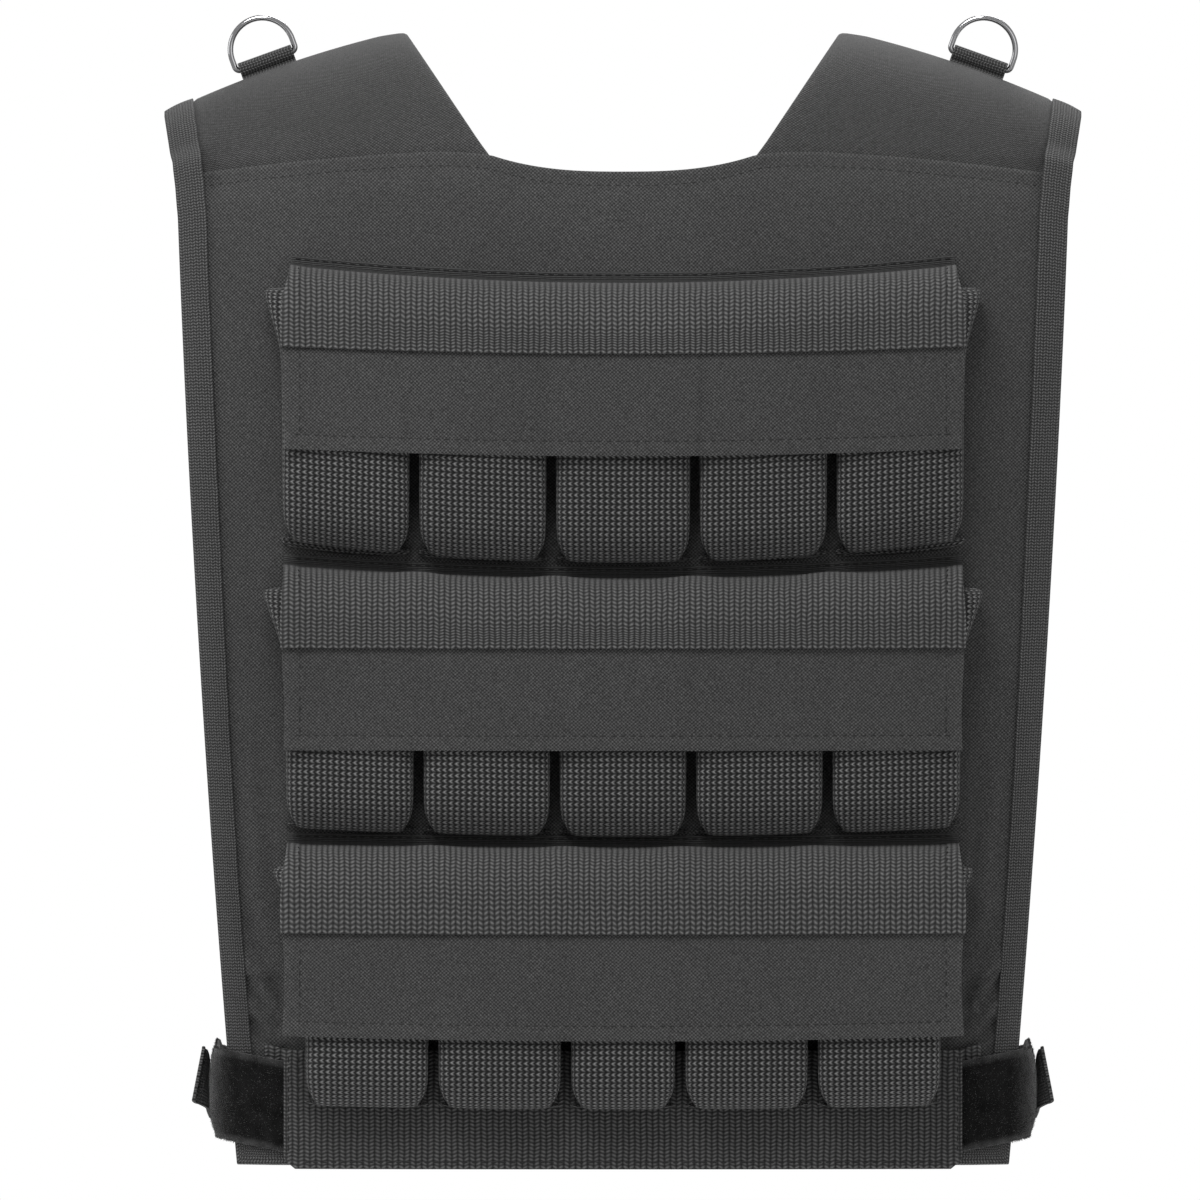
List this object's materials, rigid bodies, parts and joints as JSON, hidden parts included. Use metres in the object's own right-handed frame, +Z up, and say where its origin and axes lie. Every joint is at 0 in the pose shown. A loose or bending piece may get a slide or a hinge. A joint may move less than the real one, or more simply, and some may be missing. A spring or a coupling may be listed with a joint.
{
  "type": "weighted vest",
  "caption": "Pull-on weighted training vest with rows of filled weight pockets under flaps, wide padded shoulders, side belts and shoulder D-rings.",
  "frame": {"origin": "midway between the shoulders, at the level about where the shoulder pads rest on the wearer", "axes": "+Z up, the front of the vest faces -Y, +X to the wearer's left"},
  "size_m": [0.405, 0.2884, 0.5092],
  "materials": {
    "pack_cloth": "matte woven polyester pack cloth, charcoal",
    "webbing": "coarse woven webbing, charcoal",
    "loop_pile": "soft loop pile of a hook-and-loop belt, near black",
    "nickel_wire": "bright nickel-plated wire"
  },
  "bodies": {
    "vest": {"front_panel": "pack_cloth", "back_panel": "pack_cloth", "front_base_band": "webbing", "front_band": "webbing", "front_flap_webbing_r1": "webbing", "front_flap_cloth_r1": "pack_cloth", "front_pocket_r1_c1": "webbing", "front_pocket_r1_c2": "webbing", "front_pocket_r1_c3": "webbing", "front_pocket_r1_c4": "webbing", "front_pocket_r1_c5": "webbing", "front_flap_webbing_r2": "webbing", "front_flap_cloth_r2": "pack_cloth", "front_pocket_r2_c1": "webbing", "front_pocket_r2_c2": "webbing", "front_pocket_r2_c3": "webbing", "front_pocket_r2_c4": "webbing", "front_pocket_r2_c5": "webbing", "front_flap_webbing_r3": "webbing", "front_flap_cloth_r3": "pack_cloth", "front_pocket_r3_c1": "webbing", "front_pocket_r3_c2": "webbing", "front_pocket_r3_c3": "webbing", "front_pocket_r3_c4": "webbing", "front_pocket_r3_c5": "webbing", "back_base_band": "webbing", "back_band": "webbing", "back_flap_webbing_r1": "webbing", "back_flap_cloth_r1": "pack_cloth", "back_pocket_r1_c1": "webbing", "back_pocket_r1_c2": "webbing", "back_pocket_r1_c3": "webbing", "back_pocket_r1_c4": "webbing", "back_pocket_r1_c5": "webbing", "back_flap_webbing_r2": "webbing", "back_flap_cloth_r2": "pack_cloth", "back_pocket_r2_c1": "webbing", "back_pocket_r2_c2": "webbing", "back_pocket_r2_c3": "webbing", "back_pocket_r2_c4": "webbing", "back_pocket_r2_c5": "webbing", "back_flap_webbing_r3": "webbing", "back_flap_cloth_r3": "pack_cloth", "back_pocket_r3_c1": "webbing", "back_pocket_r3_c2": "webbing", "back_pocket_r3_c3": "webbing", "back_pocket_r3_c4": "webbing", "back_pocket_r3_c5": "webbing", "shoulder_pad_left": "pack_cloth", "edge_binding_left": "webbing", "belt_left": "loop_pile", "belt_tab_left": "webbing", "d_ring_loop_left": "webbing", "shoulder_pad_right": "pack_cloth", "edge_binding_right": "webbing", "belt_right": "loop_pile", "belt_tab_right": "webbing", "d_ring_loop_right": "webbing"},
    "d_ring_left": {"d_ring_left": "nickel_wire"},
    "d_ring_right": {"d_ring_right": "nickel_wire"}
  },
  "joints": [
    {"name": "d_ring_left_swing", "type": "hinge", "parent": "vest", "child": "d_ring_left", "pos_m": [0.15766, 0, 0.00516], "axis": [0.9406, 0, -0.3395], "range_deg": [-85, 85]},
    {"name": "d_ring_right_swing", "type": "hinge", "parent": "vest", "child": "d_ring_right", "pos_m": [-0.15766, 0, 0.00516], "axis": [-0.9406, 0, -0.3395], "range_deg": [-85, 85]}
  ]
}
